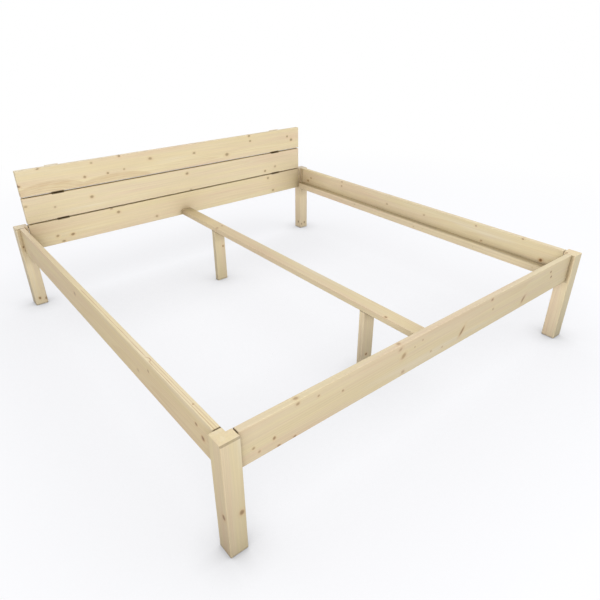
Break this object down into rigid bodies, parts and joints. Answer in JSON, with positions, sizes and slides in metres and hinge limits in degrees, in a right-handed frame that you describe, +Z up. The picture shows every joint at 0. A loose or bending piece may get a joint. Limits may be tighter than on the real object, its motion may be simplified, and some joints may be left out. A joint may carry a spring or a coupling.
{
  "type": "bed frame",
  "caption": "Spruce bed frame with a low planked headboard, notched corner posts, hook-in rails, slat ledges and a centre beam on its own legs.",
  "frame": {"origin": "middle of the footprint of the four posts, on the floor", "axes": "+X to the right seen from the foot end, +Y towards the headboard, +Z up"},
  "size_m": [2.034, 2.132, 0.761],
  "materials": {
    "spruce": "sanded and oiled, knotty",
    "dowel_beech": "fluted dowel stock",
    "zinc_steel": "zinc plated"
  },
  "bodies": {
    "root": {"batten_screws": "zinc_steel", "beam_bracket_foot": "zinc_steel", "beam_bracket_head": "zinc_steel", "beam_bracket_screws": "zinc_steel", "centre_beam": "spruce", "centre_leg_front": "spruce", "centre_leg_rear": "spruce", "foot_rail": "spruce", "head_plank_lower": "spruce", "head_plank_middle": "spruce", "head_plank_upper": "spruce", "headboard_batten_left": "spruce", "headboard_batten_right": "spruce", "hook_plate_foot_rail_left": "zinc_steel", "hook_plate_foot_rail_right": "zinc_steel", "hook_plate_head_plank_left": "zinc_steel", "hook_plate_head_plank_right": "zinc_steel", "hook_plate_left_rail_foot": "zinc_steel", "hook_plate_left_rail_head": "zinc_steel", "hook_plate_right_rail_foot": "zinc_steel", "hook_plate_right_rail_head": "zinc_steel", "hook_plate_screws": "zinc_steel", "keeper_plate_foot_rail_left": "zinc_steel", "keeper_plate_foot_rail_right": "zinc_steel", "keeper_plate_head_plank_left": "zinc_steel", "keeper_plate_head_plank_right": "zinc_steel", "keeper_plate_left_rail_foot": "zinc_steel", "keeper_plate_left_rail_head": "zinc_steel", "keeper_plate_right_rail_foot": "zinc_steel", "keeper_plate_right_rail_head": "zinc_steel", "keeper_plate_screws": "zinc_steel", "ledge_screws": "zinc_steel", "leg_dowels": "dowel_beech", "post_front_left": "spruce", "post_front_right": "spruce", "post_rear_left": "spruce", "post_rear_right": "spruce", "side_rail_left": "spruce", "side_rail_right": "spruce", "slat_ledge_left": "spruce", "slat_ledge_right": "spruce"}
  },
  "joints": []
}
